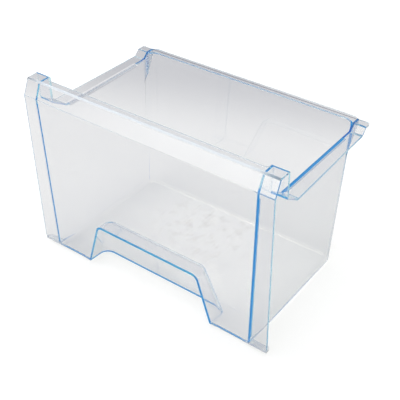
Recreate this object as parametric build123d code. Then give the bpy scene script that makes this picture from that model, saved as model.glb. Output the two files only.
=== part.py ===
"""Freezer drawer: one clear moulding with a wide flat front, side runners and a finger pocket.

Millimetres. +X is to the right seen from the front, +Y to the rear, +Z up.
Shapes are drawn with Y counted from the face of the front panel, and the finished
drawer is moved once so that the origin lies under the middle of its bounding box.
"""
import os
from math import radians, tan

from build123d import *

os.makedirs("parts", exist_ok=True)

# Overall sizes and the one wall thickness of the moulding
width = 440.0
depth = 272.0
height = 303.0
wall = 3.0

# Front panel: its edge is free outside the side walls, and its top leans back into a lip
strip = 22.7
front_lift = 5.0
lean_height = 25.0
lean_back = 11.4
lip_depth = 23.7
panel_round = 4.0
lip_corner = 7.0

# Tub: walls that lean outward, a rounded floor and a toe that rises to the panel
side_draft = 1.23
back_draft = 4.6
tub_corner = 20.0
floor_round = 8.6
toe_run = 42.0

# Runner: one strip that follows the top of each side wall from the lip to the back rim
hook_depth = 33.5
hook_drop = 41.7
front_ramp = 27.0
runner_drop = 58.8
rear_ramp = 10.6
rear_rise = 9.4
rear_flat = 13.5
runner_taper = 5.5
rim_width = 9.4
rim_step = 5.0
strip_round = 5.0
strip_corner = 3.2
rib_root = 50.0
rib_drop = 8.0

# Finger pocket in the bottom edge of the panel
pocket_base = 239.0
pocket_top = 189.0
pocket_height = 79.0
pocket_depth = 40.0
pocket_roof = 30.0
pocket_round = 10.0
pocket_corner = 15.0

# Small feet behind the free strips of the panel
foot_depth = 12.4
foot_corner = 8.0

# Levels and positions that follow from the sizes above
half = width / 2
kink_level = height - lean_height
hook_level = height - hook_drop
runner_level = height - runner_drop
rim_level = runner_level + rear_rise
lip_middle = (lean_back + lip_depth) / 2
flat_end = depth - rim_step
flat_start = flat_end - rear_flat
ramp_start = flat_start - rear_ramp
pocket_level = front_lift + pocket_height
past = 40.0


def side_at(level):
    """Distance from the middle to the outer face of a side wall at a level."""
    return half - strip - (height - level) * tan(radians(side_draft))


def back_at(level):
    """Distance from the panel face to the outer face of the back wall at a level."""
    return depth - rim_width - (rim_level - level) * tan(radians(back_draft))


def side_prism(points, reach):
    """Upright outline seen from the side, carried the same way to both sides."""
    outline = make_face(Plane.YZ * Polyline(*points, close=True))
    return extrude(outline, reach, both=True)


def front_prism(points):
    """Upright outline seen from the front, carried through the whole depth."""
    outline = make_face(Plane.XZ * Polyline(*points, close=True))
    return extrude(outline, depth + past, both=True)


def plan_prism(outline, low, high):
    """Flat outline seen from above, carried from one level to another."""
    return extrude(Plane.XY.offset(low) * outline, high - low)


def tub_block(inset):
    """Solid form of the tub, drawn in by the wall thickness for its inside."""
    top = height + inset * past
    reach = side_at(top) - inset
    seen_from_side = side_prism(
        [
            (inset, front_lift + inset),
            (toe_run, inset),
            (back_at(inset) - inset, inset),
            (back_at(top) - inset, top),
            (inset, top),
        ],
        half,
    )
    seen_from_front = front_prism(
        [
            (side_at(inset) - inset, inset),
            (reach, top),
            (-reach, top),
            (inset - side_at(inset), inset),
        ]
    )
    block = seen_from_side & seen_from_front
    rear_corners = [
        edge for edge in block.edges()
        if edge.center().Y > depth / 2 and abs(edge.center().X) > half / 2
        and edge.bounding_box().size.Z > height / 2
    ]
    block = fillet(rear_corners, tub_corner - inset)
    floor_edges = [
        edge for edge in block.edges()
        if edge.bounding_box().max.Z < front_lift + wall + 0.5
        and not (abs(edge.center().X) < 1 and edge.center().Y < depth / 2)
    ]
    return fillet(floor_edges, floor_round - inset)


def top_contour():
    """Path of the upper edge of a side wall, from the lip of the panel to the back rim."""
    corners = [
        (lip_middle, height),
        (hook_depth, height),
        (hook_depth, hook_level),
        (hook_depth + front_ramp, runner_level),
        (ramp_start, runner_level),
        (flat_start, rim_level),
        (depth, rim_level),
    ]
    return FilletPolyline(*corners, radius=strip_corner)


def below_contour():
    """Everything under the upper edge of the side walls and behind the middle of the panel."""
    core = wall / 2
    closing = Polyline(
        (depth, rim_level), (depth + past, rim_level), (depth + past, -past), (core, -past),
        (core, kink_level), (lean_back + core, height - core), (lip_middle, height - core),
        (lip_middle, height),
    )
    return extrude(make_face(Plane.YZ * (top_contour() + closing)), half, both=True)


def runner_strip():
    """Strip of wall thickness along the contour, cut to its outline seen from above."""
    band = make_face(offset(top_contour(), wall, side=Side.RIGHT, closed=True))
    band = extrude(Plane.YZ * band, half, both=True)
    rear = half - runner_taper
    inner = side_at(rim_level) - tub_corner / 2
    right = [
        (half, 0), (half, hook_depth), (rear, flat_start), (rear, flat_end),
        (inner + rim_step * 2, flat_end), (inner, depth),
    ]
    left = [(-x, y) for x, y in reversed(right)]
    outline = make_face(Polyline(*right, *left, close=True))
    tips = [v for v in outline.vertices() if abs(abs(v.X) - rear) < 0.01 and abs(v.Y - flat_end) < 0.01]
    return band & plan_prism(fillet(tips, strip_round), 0, height + past)


def tab_ribs():
    """Ribs that carry the line of the side walls on under the rear tabs, past the rounded corners."""
    low = runner_level - rib_root
    start = back_at(low) - tub_corner - wall
    in_line = front_prism(
        [
            (side_at(low), low), (side_at(rim_level), rim_level),
            (side_at(rim_level) - wall, rim_level), (side_at(low) - wall, low),
        ]
    )
    along_strip = side_prism(
        [(start, low), (flat_end, rim_level - rib_drop), (flat_end, rim_level), (start, rim_level)], half
    )
    rib = in_line & along_strip & below_contour()
    return rib + mirror(rib, Plane.YZ)


def front_panel():
    """Flat panel over the whole width, with its leaning top and lip."""
    path = FilletPolyline(
        (0, front_lift), (0, kink_level), (lean_back, height), (lip_depth, height), radius=panel_round
    )
    band = make_face(offset(path, wall, side=Side.RIGHT, closed=True))
    return extrude(Plane.YZ * band, half, both=True)


def pocket_block(extra):
    """Form of the finger pocket; the added wall gives the outside of its shell."""
    low = front_lift - past
    slope = (pocket_base - pocket_top) / 2 / pocket_height
    lean = (pocket_depth - pocket_roof) / pocket_height
    top = pocket_level + extra
    seen_from_front = front_prism(
        [
            (pocket_top / 2 - extra * slope + extra, top),
            (pocket_base / 2 + past * slope + extra, low),
            (-pocket_base / 2 - past * slope - extra, low),
            (-pocket_top / 2 + extra * slope - extra, top),
        ]
    )
    front = 0.0 if extra else -past
    seen_from_side = side_prism(
        [
            (front, low), (pocket_depth + past * lean + extra, low),
            (pocket_roof - extra * lean + extra, top), (front, top),
        ],
        half,
    )
    block = seen_from_front & seen_from_side
    uprights = [
        edge for edge in block.edges()
        if edge.center().Y > pocket_roof / 2 and abs(edge.center().X) > 1
        and edge.bounding_box().size.Z > pocket_height / 2
    ]
    block = fillet(uprights, pocket_corner + extra)
    roof = [
        edge for edge in block.edges()
        if edge.bounding_box().min.Z > top - 0.01 and edge.center().Y > front + 0.01
    ]
    return fillet(roof, pocket_round + extra)


def feet():
    """Tabs along the bottom edge of the panel, outside the side walls."""
    inner = side_at(front_lift) - wall / 2
    outline = make_face(
        Polyline((inner, 0), (half, 0), (half, foot_depth), (inner, foot_depth), close=True)
    )
    corner = outline.vertices().sort_by(lambda v: v.X + v.Y)[-1]
    tab = plan_prism(fillet(corner, foot_corner), front_lift, front_lift + wall)
    return tab + mirror(tab, Plane.YZ)


def round_lip_corners(drawer):
    """Blend the rear edge of the lip into the side walls."""
    inner = side_at(height) - wall
    corners = [
        edge for edge in drawer.edges()
        if abs(edge.center().Y - lip_depth) < 0.05 and abs(abs(edge.center().X) - inner) < 0.2
        and edge.center().Z > height - wall and edge.length < wall * 1.2
    ]
    return fillet(corners, lip_corner)


def freezer_drawer():
    """The whole moulding, as one solid."""
    solid_tub = tub_block(0)
    drawer = (solid_tub & below_contour()) + runner_strip() + tab_ribs() - tub_block(wall)
    drawer = round_lip_corners(drawer + front_panel() + feet())
    drawer = drawer + (pocket_block(wall) & solid_tub) - pocket_block(0)
    return Pos(0, -depth / 2, 0) * drawer


drawer = freezer_drawer()
export_step(drawer, "parts/drawer.step")
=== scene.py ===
# %% [markdown]
# # A clear freezer drawer
# This lesson dresses one injection moulding of clear polystyrene: a deep tub with a wide flat
# front, a runner along the top of each side wall and a finger pocket in the bottom edge.
# The solid comes from the CAD model and is the fixed frame of the scene. It is loaded first, and
# its box is kept, so that what follows can be held inside the size of the drawer.

# %% Load the drawer
from math import cos, pi, radians, sin

import bmesh
import bpy
from mathutils import Matrix, Vector


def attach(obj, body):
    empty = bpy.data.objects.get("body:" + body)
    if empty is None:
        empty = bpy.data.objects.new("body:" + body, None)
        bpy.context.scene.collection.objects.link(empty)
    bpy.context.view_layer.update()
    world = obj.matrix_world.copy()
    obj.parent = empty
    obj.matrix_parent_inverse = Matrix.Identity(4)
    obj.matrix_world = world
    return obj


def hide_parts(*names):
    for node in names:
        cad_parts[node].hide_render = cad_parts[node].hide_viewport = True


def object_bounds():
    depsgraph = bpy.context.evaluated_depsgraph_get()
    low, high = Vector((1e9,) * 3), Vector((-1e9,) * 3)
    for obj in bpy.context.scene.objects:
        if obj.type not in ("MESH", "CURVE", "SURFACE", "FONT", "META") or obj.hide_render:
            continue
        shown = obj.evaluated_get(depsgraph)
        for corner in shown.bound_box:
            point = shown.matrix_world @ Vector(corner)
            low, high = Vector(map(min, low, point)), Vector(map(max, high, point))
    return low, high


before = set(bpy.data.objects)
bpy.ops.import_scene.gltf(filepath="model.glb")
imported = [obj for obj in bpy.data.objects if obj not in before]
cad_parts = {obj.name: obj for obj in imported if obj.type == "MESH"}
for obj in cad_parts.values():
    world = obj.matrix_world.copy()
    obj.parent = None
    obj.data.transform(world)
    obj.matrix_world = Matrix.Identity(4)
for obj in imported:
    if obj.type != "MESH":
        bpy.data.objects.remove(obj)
cad_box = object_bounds()
print("CAD box in metres:", [[round(v, 4) for v in corner] for corner in cad_box])

# %% [markdown]
# Two small helpers serve every material. The first turns a colour that is written as it looks on a
# screen, such as #1c5fb4, into the linear numbers that the shaders count with. The second adds one
# node, fills in its settings and its unlinked inputs, and joins the linked ones.

# %% Colour and node helpers
MM = 0.001


def linear(hex_colour):
    """An sRGB hex colour as linear RGB with an alpha of 1."""
    parts = [int(hex_colour[i:i + 2], 16) / 255 for i in (1, 3, 5)]
    return [p / 12.92 if p <= 0.04045 else ((p + 0.055) / 1.055) ** 2.4 for p in parts] + [1.0]


def add(tree, kind, inputs=None, **settings):
    """One node of a kind, with its settings, and with values or links for its inputs."""
    node = tree.nodes.new(kind)
    for name, value in settings.items():
        setattr(node, name, value)
    for name, value in (inputs or {}).items():
        if isinstance(value, bpy.types.NodeSocket):
            tree.links.new(value, node.inputs[name])
        else:
            node.inputs[name].default_value = value
    return node


print("Mid blue in linear light:", [round(v, 3) for v in linear("#1c5fb4")])

# %% [markdown]
# ## The moulding
# A mould has no knife edges. Where two walls meet, a fillet lets the plastic flow round the corner,
# and the free edges are broken a little. Light gets trapped in those fillets and runs down inside
# the wall, so they decide how broad the blue lines of the drawer look.
# The CAD mesh is loose triangles, which no bevel can follow. So a copy is merged into one closed
# skin and its flat faces are put together again. The copy stands for the CAD node afterwards.

# %% Closed skin
MERGE = 0.001 * MM
FLAT = radians(0.3)

skin = bmesh.new()
skin.from_mesh(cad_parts["drawer"].data)
bmesh.ops.remove_doubles(skin, verts=skin.verts, dist=MERGE)
bmesh.ops.dissolve_limit(skin, angle_limit=FLAT, verts=skin.verts, edges=skin.edges)
print("Faces of the merged skin:", len(skin.faces))

# %% [markdown]
# The end faces of the walls are the narrow bands between two sharp edges. They are marked before the
# bevels change their neighbours, because they are the places where trapped light leaves the plastic.

# %% Mark the end faces of the walls
SHARP = radians(28)
END_WIDTH = 3.2 * MM
MOSTLY = 0.7

ends = skin.faces.layers.int.new("wall_end")
for face in skin.faces:
    sides = [edge.calc_length() for edge in face.edges]
    sharp = [edge.calc_length() for edge in face.edges if edge.calc_face_angle_signed(0) > SHARP]
    face[ends] = face.calc_area() / max(sides) < END_WIDTH and sum(sharp) > MOSTLY * sum(sides)
print("End faces:", sum(face[ends] for face in skin.faces))

# %% [markdown]
# A fillet in an inner corner has to end somewhere. The bevel operator needs edges across the corner
# to end on, and long flat faces have none. So the faces beside each corner are cut with planes
# first, and later only the middle part between two cuts is bevelled. Cutting the whole skin would be
# shorter, but it would leave slivers where a plane runs along the rounded rear corners of the tub.

# %% Cut the faces beside the corners
X, Y, Z = Vector((1, 0, 0)), Vector((0, 1, 0)), Vector((0, 0, 1))
SIDES = 180 * MM
FRONT = -90 * MM
RUNNER_CUTS = (-68 * MM, 86 * MM)
RIB_CUTS = (22 * MM, 268 * MM)
TOE_CUTS = (133 * MM, 176 * MM)


def cut(axis, level, faces):
    """Split faces along a plane, so that a fillet can end there."""
    parts = [part for face in faces for part in (face, *face.edges, *face.verts)]
    parts = list(dict.fromkeys(parts))
    bmesh.ops.bisect_plane(skin, geom=parts, dist=MERGE, plane_co=axis * level, plane_no=axis)


for axis, levels in ((Y, RUNNER_CUTS), (Z, RIB_CUTS)):
    for level in levels:
        cut(axis, level, [face for face in skin.faces if abs(face.calc_center_median().x) > SIDES])
for level in (*TOE_CUTS, *(-level for level in TOE_CUTS)):
    cut(X, level, [face for face in skin.faces if face.calc_center_median().y < FRONT])
print("Faces after the cuts:", len(skin.faces))

# %% [markdown]
# The runner stands out from the side wall like the flange of a T, and so does the free strip of the
# panel. A large fillet on the outer side of these corners spreads the blue line on the side that is
# seen from outside, and lets the light out again on the other. This is the difference between the
# deep line on the right of the drawer and the pale one on its left.

# %% Fillets of the runners and the panel strips
SIDE_TOP, SIDE_LEAN, TOP = 197.3 * MM, 0.02147, 303 * MM
ON_WALL = 0.3 * MM
RUNNER = 235 * MM
LONG = 100 * MM
STRIP_FILLET, RIB_FILLET, FILLET_STEPS = 4.6 * MM, 2.6 * MM, 6


def inner_edges(run):
    """Edges longer than a run, along which two faces enclose an inner corner."""
    skin.normal_update()
    return [
        edge for edge in skin.edges
        if edge.calc_face_angle_signed(0) < -SHARP and edge.calc_length() > run
    ]


def round_edges(edges, size, steps):
    """Round edges of the skin with one bevel, and give its new faces."""
    return bmesh.ops.bevel(
        skin, geom=edges, offset=size, offset_type="OFFSET", segments=steps, profile=0.5,
        affect="EDGES", clamp_overlap=False, material=-1,
    )["faces"]


def on_side_wall(edge):
    """Whether an edge lies in the outer face of a side wall."""
    reach = [abs(vert.co.x) + (TOP - vert.co.z) * SIDE_LEAN for vert in edge.verts]
    return all(abs(distance - SIDE_TOP) < ON_WALL for distance in reach)


strip_corners = [
    edge for edge in inner_edges(LONG)
    if on_side_wall(edge) and min(vert.co.z for vert in edge.verts) > RUNNER
]
round_edges(strip_corners, STRIP_FILLET, FILLET_STEPS)
rib_corners = [
    edge for edge in inner_edges(LONG)
    if on_side_wall(edge) and abs(edge.verts[0].co.z - edge.verts[1].co.z) > LONG
]
round_edges(rib_corners, RIB_FILLET, FILLET_STEPS)
print("Runner corners:", len(strip_corners), "and strip corners:", len(rib_corners))

# %% [markdown]
# At the bottom of the panel the toe of the tub runs out in a thin wedge. A fillet on the inside and
# a rounder bend on the outside keep this edge as pale as it is on the real drawer.

# %% Toe beside the finger pocket
TOE_FILLET, TOE_BEND = 2.5 * MM, 4.5 * MM
TOE_RUN = 30 * MM
TOE_BACK, TOE_FACE = -130 * MM, -135.9 * MM
TOE_LOW, TOE_HIGH = 6 * MM, 10 * MM


def between_cuts(edge):
    """Whether an edge lies between the two cuts on one side of the finger pocket."""
    low, high = TOE_CUTS
    return all(low - MM < abs(vert.co.x) < high + MM for vert in edge.verts)


toe_corners = [
    edge for edge in inner_edges(TOE_RUN)
    if between_cuts(edge)
    and all(vert.co.y < TOE_BACK and TOE_LOW < vert.co.z < TOE_HIGH for vert in edge.verts)
]
round_edges(toe_corners, TOE_FILLET, FILLET_STEPS)
skin.normal_update()
toe_bends = [
    edge for edge in skin.edges
    if edge.calc_face_angle_signed(0) > SHARP and edge.calc_length() > TOE_RUN and between_cuts(edge)
    and all(vert.co.y < TOE_FACE and vert.co.z < TOE_LOW for vert in edge.verts)
]
round_edges(toe_bends, TOE_BEND, FILLET_STEPS)
print("Toe corners:", len(toe_corners), "toe bends:", len(toe_bends))

# %% [markdown]
# The mouth is the upper inner edge of the tub, where hands and frozen goods go in. It gets its own
# small round, a bit larger than the other edges have, and its faces are marked because they are
# less polished than the walls.

# %% Mouth of the tub
TALL = 120 * MM
UPRIGHT = 0.2
MOUTH_ROUND, MOUTH_STEPS = 0.8 * MM, 3


def is_tub_wall(face):
    """Whether a face is a tall inner face of the tub."""
    heights = [vert.co.z for vert in face.verts]
    middle = face.calc_center_median()
    inward = middle.x * face.normal.x + middle.y * face.normal.y < 0
    return abs(face.normal.z) < UPRIGHT and inward and max(heights) - min(heights) > TALL


skin.normal_update()
mouth = [
    edge for edge in skin.edges
    if edge.calc_face_angle_signed(0) > SHARP and any(is_tub_wall(face) for face in edge.link_faces)
    and min(vert.co.z for vert in edge.verts) > RUNNER
]
worn = skin.faces.layers.int.new("mouth")
for face in round_edges(mouth, MOUTH_ROUND, MOUTH_STEPS):
    face[worn] = 1
print("Mouth edges:", len(mouth))

# %% [markdown]
# All edges that are still sharp are broken by half a millimetre, as the polish of a mould leaves
# them. Very short edges are left out, because a bevel there would push its corners out of the
# drawer's box. What is left outside by a hair is set back into the box.

# %% Broken edges
EDGE_BREAK, EDGE_STEPS = 0.5 * MM, 2
TINY = 0.8 * MM

skin.normal_update()
broken = [
    edge for edge in skin.edges
    if edge.calc_face_angle(0) > SHARP and edge.calc_length() > TINY
]
round_edges(broken, EDGE_BREAK, EDGE_STEPS)
bmesh.ops.dissolve_degenerate(skin, dist=MERGE, edges=skin.edges)
loose = [vert for vert in skin.verts if not vert.link_faces]
bmesh.ops.delete(skin, geom=loose, context="VERTS")
for vert in skin.verts:
    vert.co = Vector(min(max(c, low), high) for c, low, high in zip(vert.co, *cad_box))
print("Broken edges:", len(broken), "faces:", len(skin.faces))
print("Open edges:", sum(not edge.is_manifold for edge in skin.edges))

# %% [markdown]
# Smooth shading alone would bend the light on the large flat walls. So each broad wall keeps its own
# direction at all its corners, and the narrow rounds lead from the direction of one wall to that of
# the next. A bevel with hardened normals would do the same, but only for one bevel size.

# %% Directions of the surface
BROAD = 6 * MM

skin.normal_update()
skin.verts.index_update()
skin.faces.index_update()
widths = [face.calc_area() / max(edge.calc_length() for edge in face.edges) for face in skin.faces]


def lead(vert):
    """Direction of the surface at a corner: that of the broadest wall there, or of all its rounds."""
    faces = sorted(vert.link_faces, key=lambda face: widths[face.index])
    if widths[faces[-1].index] > BROAD:
        return faces[-1].normal.copy()
    return sum((face.normal * face.calc_area() ** 2 for face in faces), Vector()).normalized()


leads = [lead(vert) for vert in skin.verts]
normals = [
    face.normal.copy() if width > BROAD else leads[vert.index]
    for face, width in zip(skin.faces, widths) for vert in face.verts
]
print("Broad faces:", sum(width > BROAD for width in widths), "of", len(widths))

# %% [markdown]
# Two marks go with the faces as attributes, so that the material can read them. The first says where
# an end face is painted blue, a painted glow that stands in for the light caught in the wall: most at
# the sides of the panel and behind the lip. The second says which faces are dull, because the mould
# was not polished there: the bottom edge, the front of the lip, the ribs under the rear tabs and, a
# little, the mouth.

# %% Blue and dull marks
ROUND_WIDTH = 1.2 * MM
FULL_BLUE, PALE_BLUE, MOUTH_DULL = 1.0, 0.4, 0.25
BOTTOM_EDGE = {"y": -120 * MM, "z": 7 * MM}
LIP_FRONT = {"y": -118 * MM, "z": 298 * MM}
TAB_RIB = {"x": 188 * MM, "y": 108 * MM, "z": 185 * MM}
# Shares of a face's direction along an axis, from which it counts as turned that way
TURNED_DOWN, TURNED_UP, TURNED_ASIDE, SQUARE_ASIDE = -0.3, 0.2, 0.7, 0.9

glowing = {
    vert.index for face, width in zip(skin.faces, widths)
    if face[ends] and width > ROUND_WIDTH for vert in face.verts
}


def in_bottom_edge(face):
    """Whether a face belongs to the edge on which the panel ends at the bottom."""
    middle = face.calc_center_median()
    low_in_front = middle.y < BOTTOM_EDGE["y"] and middle.z < BOTTOM_EDGE["z"]
    return low_in_front and face.normal.z < TURNED_DOWN


def painted_blueness(face):
    """How strongly an end face is painted blue, as a painted glow of caught light."""
    if in_bottom_edge(face):
        return 0.0
    aside = abs(face.normal.x) > TURNED_ASIDE or face.normal.y > TURNED_ASIDE
    return FULL_BLUE if aside else PALE_BLUE


def dullness(face, width):
    """How dull a face is, from 0 for a polished wall to 1."""
    x, y, z = face.calc_center_median()
    turn = face.normal
    on_lip = y < LIP_FRONT["y"] and z > LIP_FRONT["z"]
    lip_front = on_lip and width < BROAD and turn.z > TURNED_UP
    under_tab = y > TAB_RIB["y"] and z > TAB_RIB["z"] and abs(x) > TAB_RIB["x"]
    tab_rib = under_tab and abs(turn.x) > SQUARE_ASIDE
    unpolished = in_bottom_edge(face) or lip_front or tab_rib
    return 1.0 if unpolished else MOUTH_DULL * face[worn]


# The blue mark is a painted glow: colour standing in for caught light leaving the end faces
blue, dull = [], []
for face, width in zip(skin.faces, widths):
    for vert in face.verts:
        blue.append(painted_blueness(face) * (width <= BROAD and vert.index in glowing))
        dull.append(dullness(face, width))
print("Blue corners:", sum(b > 0 for b in blue), "dull corners:", sum(d > 0 for d in dull))

# %% [markdown]
# The skin becomes one mesh object at the origin. It rides on the drawer's only body and takes the place
# of the CAD node, which is hidden. Its material, the clear plastic, is made below.

# %% Drawer as one piece
mesh = bpy.data.meshes.new("drawer_moulding")
skin.to_mesh(mesh)
skin.free()
mesh.shade_smooth()
mesh.normals_split_custom_set(normals)
mesh.attributes.new("painted_blue_edge", "FLOAT", "CORNER").data.foreach_set("value", blue)
mesh.attributes.new("dull_edge", "FLOAT", "CORNER").data.foreach_set("value", dull)
drawer = bpy.data.objects.new("drawer_moulding", mesh)
bpy.context.scene.collection.objects.link(drawer)
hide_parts("drawer")
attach(drawer, "root")
print("Drawer:", len(mesh.polygons), "faces")

# %% [markdown]
# ## Clear polystyrene
# The drawer is moulded from clear polystyrene with a trace of blue dye. A wall of 3 mm shows no
# colour, but light that is caught in the wall runs a long way through the plastic, and comes out
# deep blue at the edges and where walls meet. Here that blue is also painted into the colour of the
# plastic, as a painted glow of the caught light. One closed skin can have only one material, so the
# places of the painted blue lines are worked out in it from Object coordinates and from the blue
# mark. The line over a side wall lies where the distance to the middle plane of that wall is small.

# %% Distance to the middle of a side wall
WALL = 3.0 * MM
BAND_FULL, BAND_END = 1.4 * MM, 1.9 * MM

# Clear moulded polystyrene: colourless walls, bright sharp reflections and painted blue lines
clear = bpy.data.materials.new("clear_polystyrene_moulded")
clear.use_nodes = True
tree = clear.node_tree
tree.nodes.clear()
place = add(tree, "ShaderNodeTexCoord")
spot = add(tree, "ShaderNodeSeparateXYZ", {"Vector": place.outputs["Object"]})
across = add(tree, "ShaderNodeMath", {0: spot.outputs["X"]}, operation="ABSOLUTE")
upright = add(tree, "ShaderNodeMath", {
    0: spot.outputs["Z"], 1: -SIDE_LEAN, 2: across.outputs[0],
}, operation="MULTIPLY_ADD")
offset = add(tree, "ShaderNodeMath", {
    0: upright.outputs[0], 1: SIDE_TOP - TOP * SIDE_LEAN - WALL / 2,
}, operation="SUBTRACT")
gap = add(tree, "ShaderNodeMath", {0: offset.outputs[0]}, operation="ABSOLUTE")
band = add(tree, "ShaderNodeMapRange", {
    "Value": gap.outputs[0], "From Min": BAND_END, "From Max": BAND_FULL, "To Min": 0.0, "To Max": 1.0,
})
print("Blue band over a side wall:", round(2 * BAND_END / MM, 1), "mm wide")

# %% [markdown]
# The painted band is shown only on faces that look forward, such as the panel, and on those that look
# up high on the drawer, such as the runner. It is faint where the fillets already make the caught
# light run blue, and full over the rear tabs, which have no fillet: there the painted blue alone
# stands in for the caught light.

# %% Painted blue lines
HIGH = 100 * MM
HALF_TURNED = 0.5
FAINT = 0.2
PAINTED_GLOW_BLUE = linear("#0a66c8")
CLEAR = linear("#fdfdfe")

geometry = add(tree, "ShaderNodeNewGeometry")
facing = add(tree, "ShaderNodeSeparateXYZ", {"Vector": geometry.outputs["Normal"]})
ahead = add(tree, "ShaderNodeMath", {0: facing.outputs["Y"], 1: -1.0}, operation="MULTIPLY")
high_up = add(tree, "ShaderNodeMath", {0: spot.outputs["Z"], 1: HIGH}, operation="GREATER_THAN")
above = add(tree, "ShaderNodeMath", {
    0: facing.outputs["Z"], 1: high_up.outputs[0],
}, operation="MULTIPLY")
open_side = add(tree, "ShaderNodeMath", {
    0: ahead.outputs[0], 1: above.outputs[0],
}, operation="MAXIMUM")
turned = add(tree, "ShaderNodeMath", {
    0: open_side.outputs[0], 1: HALF_TURNED,
}, operation="GREATER_THAN")
wall_line = add(tree, "ShaderNodeMath", {
    0: band.outputs[0], 1: turned.outputs[0],
}, operation="MULTIPLY")
tab = add(tree, "ShaderNodeMath", {
    0: spot.outputs["Y"], 1: RUNNER_CUTS[1],
}, operation="GREATER_THAN")
strength = add(tree, "ShaderNodeMath", {
    0: tab.outputs[0], 1: 1.0 - FAINT, 2: FAINT,
}, operation="MULTIPLY_ADD")
rib = add(tree, "ShaderNodeMath", {
    0: wall_line.outputs[0], 1: strength.outputs[0],
}, operation="MULTIPLY")
painted_blue_edge = add(tree, "ShaderNodeAttribute", attribute_name="painted_blue_edge")
line = add(tree, "ShaderNodeMath", {
    0: rib.outputs[0], 1: painted_blue_edge.outputs["Fac"],
}, operation="MAXIMUM")
# Painted glow: the blue lines are colour standing in for light caught in the walls
painted_glow_tint = add(tree, "ShaderNodeMix", {
    "Factor": line.outputs[0], "A": CLEAR, "B": PAINTED_GLOW_BLUE,
}, data_type="RGBA")
print("Blue of the edges in linear light:", [round(v, 3) for v in PAINTED_GLOW_BLUE])

# %% [markdown]
# A used drawer is not spotless. Goods that were pushed about have left dull brownish scuffs and fine
# scratches on the middle of its floor. They lie only on the floor's upper face, in a soft round
# patch. The scuffs are 22 mm blots of noise, and the scratches are noise that is stretched along Y.
# Real scratches are finer than a tenth of a millimetre. Here they are 2 mm wide, so that they show.

# %% Scuffs on the drawer's floor
FLOOR_TOP = 4.5 * MM
SCUFF_SPOT = Vector((-20, 55, 3)) * MM
SCUFF_REACH, SCUFF_FULL = 115 * MM, 35 * MM
SCUFF_BLOT = 22 * MM
SCRATCH_WIDE, SCRATCH_LONG = 2 * MM, 70 * MM
SCRATCH_SHARE, SCUFF_FROM, SCUFF_TO, SCUFF_MOST = 0.35, 0.68, 0.95, 0.55
SCUFFED = linear("#d2c9bf")

at_floor = add(tree, "ShaderNodeMath", {0: spot.outputs["Z"], 1: FLOOR_TOP}, operation="LESS_THAN")
upper = add(tree, "ShaderNodeMath", {
    0: facing.outputs["Z"], 1: HALF_TURNED,
}, operation="GREATER_THAN")
on_floor = add(tree, "ShaderNodeMath", {
    0: at_floor.outputs[0], 1: upper.outputs[0],
}, operation="MULTIPLY")
from_spot = add(tree, "ShaderNodeVectorMath", {
    0: place.outputs["Object"], 1: SCUFF_SPOT,
}, operation="DISTANCE")
near = add(tree, "ShaderNodeMapRange", {
    "Value": from_spot.outputs["Value"], "From Min": SCUFF_REACH, "From Max": SCUFF_FULL,
    "To Min": 0.0, "To Max": 1.0,
})
blots = add(tree, "ShaderNodeTexNoise", {
    "Vector": place.outputs["Object"], "Scale": 1 / SCUFF_BLOT, "Detail": 4.0,
})
stretch = add(tree, "ShaderNodeMapping", {
    "Vector": place.outputs["Object"],
    "Scale": (1 / SCRATCH_WIDE, 1 / SCRATCH_LONG, 1 / SCRATCH_LONG),
})
strokes = add(tree, "ShaderNodeTexNoise", {"Vector": stretch.outputs[0], "Scale": 1.0, "Detail": 1.0})
marks = add(tree, "ShaderNodeMath", {
    0: strokes.outputs["Fac"], 1: SCRATCH_SHARE, 2: blots.outputs["Fac"],
}, operation="MULTIPLY_ADD")
stained = add(tree, "ShaderNodeMapRange", {
    "Value": marks.outputs[0], "From Min": SCUFF_FROM, "From Max": SCUFF_TO,
    "To Min": 0.0, "To Max": SCUFF_MOST,
})
around = add(tree, "ShaderNodeMath", {
    0: near.outputs["Result"], 1: on_floor.outputs[0],
}, operation="MULTIPLY")
scuff = add(tree, "ShaderNodeMath", {
    0: stained.outputs["Result"], 1: around.outputs[0],
}, operation="MULTIPLY")
colour = add(tree, "ShaderNodeMix", {
    "Factor": scuff.outputs[0], "A": painted_glow_tint.outputs["Result"], "B": SCUFFED,
}, data_type="RGBA", blend_type="MULTIPLY")
print("Scuff blots:", round(SCUFF_BLOT / MM), "mm, scratches:", round(SCRATCH_WIDE / MM), "mm wide")

# %% [markdown]
# The polish of a large mould is not even. Patches of about 40 mm are a little hazier than others,
# and the wall is never quite flat: the flow of the plastic leaves waves of a few hundredths of a
# millimetre. The haze goes into the roughness and the waves into a bump, so that reflections and
# the view through the wall are alive. The dull faces are far rougher.

# %% Haze and waves
HAZE_PATCH, HAZE_FROM, HAZE_TO = 40 * MM, 0.35, 0.65
WAVE, WAVE_HEIGHT = 45 * MM, 0.04 * MM
CLEAREST, HAZIEST, DULL_ROUGH = 0.012, 0.034, 0.6

patches = add(tree, "ShaderNodeTexNoise", {
    "Vector": place.outputs["Object"], "Scale": 1 / HAZE_PATCH, "Detail": 2.0,
})
haze = add(tree, "ShaderNodeMapRange", {
    "Value": patches.outputs["Fac"], "From Min": HAZE_FROM, "From Max": HAZE_TO,
    "To Min": CLEAREST, "To Max": HAZIEST,
})
dull_edge = add(tree, "ShaderNodeAttribute", attribute_name="dull_edge")
rough = add(tree, "ShaderNodeMath", {
    0: dull_edge.outputs["Fac"], 1: DULL_ROUGH, 2: haze.outputs["Result"],
}, operation="MULTIPLY_ADD")
flow = add(tree, "ShaderNodeTexNoise", {
    "Vector": place.outputs["Object"], "Scale": 1 / WAVE, "Detail": 0.0,
})
waves = add(tree, "ShaderNodeBump", {
    "Height": flow.outputs["Fac"], "Distance": WAVE_HEIGHT, "Strength": 1.0,
})
print("Roughness of the walls:", CLEAREST, "to", HAZIEST)

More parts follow.
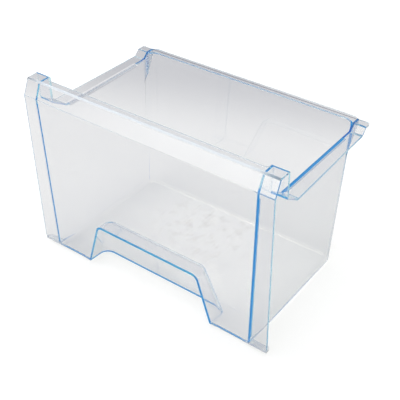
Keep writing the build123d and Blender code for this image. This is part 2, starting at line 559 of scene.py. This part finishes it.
# %% [markdown]
# The panel's bottom edge looks pale on both sides of the finger pocket, as if it were rubbed matt.
# A mark on the faces would not do, because the band ends in the middle of the open panel. So it is
# worked out from the height over the ground, and fades out upwards over a few millimetres.

# %% Rubbed bottom edge
RUBBED_FULL, RUBBED_END = 7 * MM, 10 * MM
RUBBED_BACK, RUBBED_SIDE = -131 * MM, 123 * MM

rubbed_low = add(tree, "ShaderNodeMapRange", {
    "Value": spot.outputs["Z"], "From Min": RUBBED_END, "From Max": RUBBED_FULL,
    "To Min": 0.0, "To Max": 1.0,
})
rubbed_front = add(tree, "ShaderNodeMath", {
    0: spot.outputs["Y"], 1: RUBBED_BACK,
}, operation="LESS_THAN")
rubbed_side = add(tree, "ShaderNodeMath", {
    0: across.outputs[0], 1: RUBBED_SIDE,
}, operation="GREATER_THAN")
beside_pocket = add(tree, "ShaderNodeMath", {
    0: rubbed_front.outputs[0], 1: rubbed_side.outputs[0],
}, operation="MULTIPLY")
rubbed = add(tree, "ShaderNodeMath", {
    0: rubbed_low.outputs["Result"], 1: beside_pocket.outputs[0],
}, operation="MULTIPLY")
print("Rubbed band:", round(RUBBED_END / MM), "mm high")

# %% [markdown]
# Polystyrene has an index of refraction of 1.59, which gives clear bright reflections. The dull faces
# and the scuffs scatter light like milk, so a matt white is mixed in there. Light from the lamps
# would reach the floor through the drawer only by chance. So for shadow rays the wall is a plain
# filter that takes more at a slant, and the drawer throws the pale shadow of clear plastic.

# %% Surface of the plastic
IOR = 1.59
MILK, MILK_FROM, MILK_MOST, SCUFF_MILK = linear("#e6e8ea"), 0.4, 0.6, 0.2
SLANTED, SLANT_BLEND = linear("#b4bac0"), 0.2

gloss = add(tree, "ShaderNodeBsdfPrincipled", {
    "Base Color": colour.outputs["Result"], "Roughness": rough.outputs[0], "IOR": IOR,
    "Transmission Weight": 1.0, "Normal": waves.outputs[0],
})
milk = add(tree, "ShaderNodeBsdfDiffuse", {"Color": MILK})
matt_part = add(tree, "ShaderNodeMath", {
    0: dull_edge.outputs["Fac"], 1: rubbed.outputs[0],
}, operation="MAXIMUM")
milky = add(tree, "ShaderNodeMapRange", {
    "Value": matt_part.outputs[0], "From Min": MILK_FROM, "From Max": 1.0,
    "To Min": 0.0, "To Max": MILK_MOST,
})
scattered = add(tree, "ShaderNodeMath", {
    0: scuff.outputs[0], 1: SCUFF_MILK, 2: milky.outputs["Result"],
}, operation="MULTIPLY_ADD")
seen = add(tree, "ShaderNodeMixShader", {
    0: scattered.outputs[0], 1: gloss.outputs[0], 2: milk.outputs[0],
})
slant = add(tree, "ShaderNodeLayerWeight", {"Blend": SLANT_BLEND})
filtered = add(tree, "ShaderNodeMix", {
    "Factor": slant.outputs["Facing"], "A": CLEAR, "B": SLANTED,
}, data_type="RGBA")
passing = add(tree, "ShaderNodeBsdfTransparent", {"Color": filtered.outputs["Result"]})
rays = add(tree, "ShaderNodeLightPath")
lit = add(tree, "ShaderNodeMixShader", {
    0: rays.outputs["Is Shadow Ray"], 1: seen.outputs[0], 2: passing.outputs[0],
})
print("Index of refraction:", IOR)

# %% [markdown]
# The dye fills the plastic, so it is a volume. A ray that passes straight through a wall loses a
# little of every colour, in such shares that the wall stays neutral. A ray that was reflected inside
# the wall is caught, and there the dye takes red first. What is taken comes back as a deep blue glow:
# the plastic gives out light of its own, a painted glow that stands in for the light that reaches a
# real wall from all sides. Absorption and glow belong together: along a long path the colour ends at
# that blue and not at black.

# %% Dye and painted glow in the plastic
# Red, green and blue light that a metre of plastic takes from a straight and from a caught ray
TAKEN = (6.0, 9.2, 30.0)
TRAPPED = (24.0, 7.0, 9.0)
DEEP_BLUE = linear("#0790d4")
MOST = 2 * max(*TAKEN, *TRAPPED)
ONE_BOUNCE = 1.5

caught = add(tree, "ShaderNodeMath", {
    0: rays.outputs["Glossy Depth"], 1: ONE_BOUNCE,
}, operation="GREATER_THAN")
kept_light = add(tree, "ShaderNodeMix", {
    "Factor": caught.outputs[0],
    "A": [*(1 - t / MOST for t in TAKEN), 1.0], "B": [*(1 - t / MOST for t in TRAPPED), 1.0],
}, data_type="RGBA")
painted_glow_colour = add(tree, "ShaderNodeMix", {
    "Factor": caught.outputs[0],
    "A": [*(c * t / MOST for c, t in zip(DEEP_BLUE, TAKEN)), 1.0],
    "B": [*(c * t / MOST for c, t in zip(DEEP_BLUE, TRAPPED)), 1.0],
}, data_type="RGBA")
absorb = add(tree, "ShaderNodeVolumeAbsorption", {
    "Color": kept_light.outputs["Result"], "Density": MOST,
})
# Painted glow: the plastic gives out blue light of its own, though it is no lamp
glow = add(tree, "ShaderNodeEmission", {"Color": painted_glow_colour.outputs["Result"], "Strength": MOST})
dye_and_glow = add(tree, "ShaderNodeAddShader", {0: absorb.outputs[0], 1: glow.outputs[0]})
add(tree, "ShaderNodeOutputMaterial", {"Surface": lit.outputs[0], "Volume": dye_and_glow.outputs[0]})
drawer.data.materials.append(clear)
print("Nodes in the clear polystyrene:", len(tree.nodes))

# %% [markdown]
# ## Studio
# The drawer stands on a wide sheet of white paper. The sheet lies a hair below the drawer's bottom,
# so that the two faces never share a place.

# %% Sheet of paper
SHEET, BELOW = 6.0, 0.02 * MM

sheet = bmesh.new()
bmesh.ops.create_grid(sheet, x_segments=1, y_segments=1, size=SHEET)
bmesh.ops.translate(sheet, verts=sheet.verts, vec=(0, 0, -BELOW))
floor_mesh = bpy.data.meshes.new("studio_floor")
sheet.to_mesh(floor_mesh)
sheet.free()
floor = bpy.data.objects.new("studio_floor", floor_mesh)
bpy.context.scene.collection.objects.link(floor)
print("Sheet of paper:", 2 * SHEET, "m wide")

# %% [markdown]
# The paper is matt. Behind the drawer on the left its colour is painted a little darker, a painted
# shade for light that falls off there. This is what the back wall of the drawer shows. The slope of
# the painted shade is set along one slanted direction over the paper.

# %% White paper with painted shade
FALL_START, FALL_END, FALL_TURN = 0.32, 0.62, -0.35
LIGHT_PAPER, PAINTED_SHADE_PAPER = linear("#b4b4b4"), linear("#98989a")

# Matt white paper: no gloss, only a soft ground, the shadow of the drawer and a painted shade
paper = bpy.data.materials.new("white_paper_matt")
paper.use_nodes = True
tree = paper.node_tree
tree.nodes.clear()
place = add(tree, "ShaderNodeTexCoord")
axes = add(tree, "ShaderNodeSeparateXYZ", {"Vector": place.outputs["Object"]})
far = add(tree, "ShaderNodeMath", {
    0: axes.outputs["X"], 1: FALL_TURN, 2: axes.outputs["Y"],
}, operation="MULTIPLY_ADD")
painted_dusk = add(tree, "ShaderNodeMapRange", {
    "Value": far.outputs[0], "From Min": FALL_START, "From Max": FALL_END, "To Min": 0.0, "To Max": 1.0,
}, interpolation_type="SMOOTHSTEP")
paper_with_painted_shade = add(tree, "ShaderNodeMix", {
    "Factor": painted_dusk.outputs["Result"], "A": LIGHT_PAPER, "B": PAINTED_SHADE_PAPER,
}, data_type="RGBA")
matt = add(tree, "ShaderNodeBsdfDiffuse", {"Color": paper_with_painted_shade.outputs["Result"]})
print("Paper falls off over", round(FALL_END - FALL_START, 2), "m")

# %% [markdown]
# The picture has a white background, but more light on the drawer would wash it out. So the paper
# adds white only where the camera looks at it, less near the drawer, where its shadow lies, and a
# smaller share where it is seen through the drawer or mirrored in it. That share also falls off with
# the painted shade behind the drawer on the left.

# %% White background
WHITE = linear("#ffffff")
NEAR_RADIUS, FAR_RADIUS = 0.27, 0.9
NEAR_WHITE, FAR_WHITE = 0.54, 0.95
THROUGH_NEAR, THROUGH_FAR, MIRRORED = 0.36, 0.25, 0.25

radius = add(tree, "ShaderNodeVectorMath", {0: place.outputs["Object"]}, operation="LENGTH")
burn = add(tree, "ShaderNodeMapRange", {
    "Value": radius.outputs["Value"], "From Min": NEAR_RADIUS, "From Max": FAR_RADIUS,
    "To Min": NEAR_WHITE, "To Max": FAR_WHITE,
}, interpolation_type="SMOOTHSTEP")
# This share follows the painted shade of the paper
through = add(tree, "ShaderNodeMapRange", {
    "Value": far.outputs[0], "From Min": FALL_START, "From Max": FALL_END,
    "To Min": THROUGH_NEAR, "To Max": THROUGH_FAR,
}, interpolation_type="SMOOTHSTEP")
rays = add(tree, "ShaderNodeLightPath")
in_gloss = add(tree, "ShaderNodeMath", {
    0: rays.outputs["Is Glossy Ray"], 1: MIRRORED,
}, operation="MULTIPLY")
by_plastic = add(tree, "ShaderNodeMath", {
    0: rays.outputs["Is Transmission Ray"], 1: in_gloss.outputs[0],
}, operation="MAXIMUM")
in_plastic = add(tree, "ShaderNodeMath", {
    0: by_plastic.outputs[0], 1: through.outputs["Result"],
}, operation="MULTIPLY")
added = add(tree, "ShaderNodeMath", {
    0: rays.outputs["Is Camera Ray"], 1: burn.outputs["Result"], 2: in_plastic.outputs[0],
}, operation="MULTIPLY_ADD")
white = add(tree, "ShaderNodeEmission", {"Color": WHITE, "Strength": added.outputs[0]})
both = add(tree, "ShaderNodeAddShader", {0: matt.outputs[0], 1: white.outputs[0]})
add(tree, "ShaderNodeOutputMaterial", {"Surface": both.outputs[0]})
floor.data.materials.append(paper)
print("White added near the drawer:", NEAR_WHITE, "and far from it:", FAR_WHITE)

# %% [markdown]
# Clear plastic shows its form by what it mirrors. The room is a pale grey, with one darker flag at
# the rear left that tones down the left runner and the rim, and a bright window low in front of the
# drawer for the leaning top of the panel. Both are soft spots around a direction. The camera itself
# sees plain white.

# %% Room
FLAG_TOWARD, FLAG_START, FLAG_FULL = Vector((-0.60, 0.68, 0.42)), 0.968, 0.995
WINDOW_TOWARD, WINDOW_START, WINDOW_FULL = Vector((-0.25, -0.96, 0.12)), 0.86, 0.99
WINDOW_LEVEL = 1.4
PALE_GREY, FLAG_GREY = linear("#dcddde"), linear("#b2b4b6")

scene = bpy.context.scene
scene.world = bpy.data.worlds.new("studio_room")
scene.world.use_nodes = True
tree = scene.world.node_tree
tree.nodes.clear()
toward = add(tree, "ShaderNodeTexCoord").outputs["Generated"]
flag = add(tree, "ShaderNodeVectorMath", {0: toward, 1: FLAG_TOWARD}, operation="DOT_PRODUCT")
flagged = add(tree, "ShaderNodeMapRange", {
    "Value": flag.outputs["Value"], "From Min": FLAG_START, "From Max": FLAG_FULL,
    "To Min": 0.0, "To Max": 1.0,
}, interpolation_type="SMOOTHSTEP")
walls = add(tree, "ShaderNodeMix", {
    "Factor": flagged.outputs["Result"], "A": PALE_GREY, "B": FLAG_GREY,
}, data_type="RGBA")
window = add(tree, "ShaderNodeVectorMath", {0: toward, 1: WINDOW_TOWARD}, operation="DOT_PRODUCT")
daylight = add(tree, "ShaderNodeMapRange", {
    "Value": window.outputs["Value"], "From Min": WINDOW_START, "From Max": WINDOW_FULL,
    "To Min": 0.0, "To Max": WINDOW_LEVEL,
}, interpolation_type="SMOOTHSTEP")
room = add(tree, "ShaderNodeMix", {
    "Factor": 1.0, "A": walls.outputs["Result"], "B": daylight.outputs["Result"],
}, data_type="RGBA", blend_type="ADD")
rays = add(tree, "ShaderNodeLightPath")
backdrop = add(tree, "ShaderNodeMix", {
    "Factor": rays.outputs["Is Camera Ray"], "A": room.outputs["Result"], "B": WHITE,
}, data_type="RGBA")
air = add(tree, "ShaderNodeBackground", {"Color": backdrop.outputs["Result"], "Strength": 1.0})
add(tree, "ShaderNodeOutputWorld", {"Surface": air.outputs[0]})
print("Window level:", WINDOW_LEVEL)

# %% [markdown]
# Two soft boxes light the drawer. The large one overhead lights the paper and gives the soft shadow,
# and is not mirrored in the outer faces. The small one gives only highlights on rounded edges.
# It is kept off matt faces, and it isn't seen through the plastic, where it would draw bright smears.

# %% Soft boxes
OVERHEAD = {"place": (-0.35, -0.3, 1.8), "aim": (-0.05, 0.0, 0.0), "side": 1.5, "level": 2.7}
KEY = {"place": (-0.85, -0.55, 1.7), "aim": (0, -0.1, 0.2), "side": 0.45, "level": 4.0}


def soft_box(name, mirrored, place, aim, side, level):
    """A square lamp whose face has the given brightness, where 1 is white."""
    data = bpy.data.lights.new(name, "AREA")
    data.shape = "RECTANGLE"
    data.size = data.size_y = side
    data.energy = level * pi * side ** 2
    lamp = bpy.data.objects.new(name, data)
    lamp.location = place
    lamp.rotation_euler = (Vector(aim) - Vector(place)).to_track_quat("-Z", "Y").to_euler()
    lamp.visible_glossy = mirrored
    lamp.visible_diffuse = not mirrored
    lamp.visible_transmission = not mirrored
    scene.collection.objects.link(lamp)
    print(name, "gives", round(data.energy, 1), "W")


soft_box("overhead_box", mirrored=False, **OVERHEAD)
soft_box("key_box", mirrored=True, **KEY)

# %% [markdown]
# The camera stands to the right of the drawer and looks down on it. Its place, angles and focal
# length were fitted to the outline of the drawer in a picture of 400 pixels. The small shift moves
# the middle of the picture by less than two of them.

# %% Camera
PICTURE = 400
AZIMUTH, ELEVATION, ROLL = radians(37.31), radians(36.99), radians(-0.73)
PLACE = Vector((623.6, -816.7, 869.7)) * MM
FOCAL = 807.7
CENTRE = (199.7, 201.5)
SENSOR = 36.0

lens = bpy.data.cameras.new("studio_camera")
lens.sensor_width = SENSOR
lens.lens = FOCAL / PICTURE * SENSOR
lens.shift_x = (PICTURE / 2 - CENTRE[0]) / PICTURE
lens.shift_y = (CENTRE[1] - PICTURE / 2) / PICTURE
camera = bpy.data.objects.new("studio_camera", lens)
away = Vector((sin(AZIMUTH) * cos(ELEVATION), -cos(AZIMUTH) * cos(ELEVATION), sin(ELEVATION)))
right = Vector((cos(AZIMUTH), sin(AZIMUTH), 0))
turn = Matrix((right, away.cross(right), away)).transposed() @ Matrix.Rotation(ROLL, 3, "Z")
camera.matrix_world = Matrix.Translation(PLACE) @ turn.to_4x4()
scene.collection.objects.link(camera)
scene.camera = camera
print("Focal length:", round(lens.lens, 1), "mm on a sensor of", SENSOR, "mm")

# %% [markdown]
# Light in a clear wall is reflected many times before it comes out. With the usual number of bounces
# the edges would turn black, so rays may go on for longer here. Colours are shown as they are
# written, without a film look.

# %% Light paths
ALL_BOUNCES, GLOSSY_BOUNCES, TRANSMISSION_BOUNCES = 48, 40, 24

scene.view_settings.view_transform = "Standard"
scene.cycles.max_bounces = ALL_BOUNCES
scene.cycles.glossy_bounces = GLOSSY_BOUNCES
scene.cycles.transmission_bounces = TRANSMISSION_BOUNCES
print("Most bounces of a ray:", scene.cycles.max_bounces)
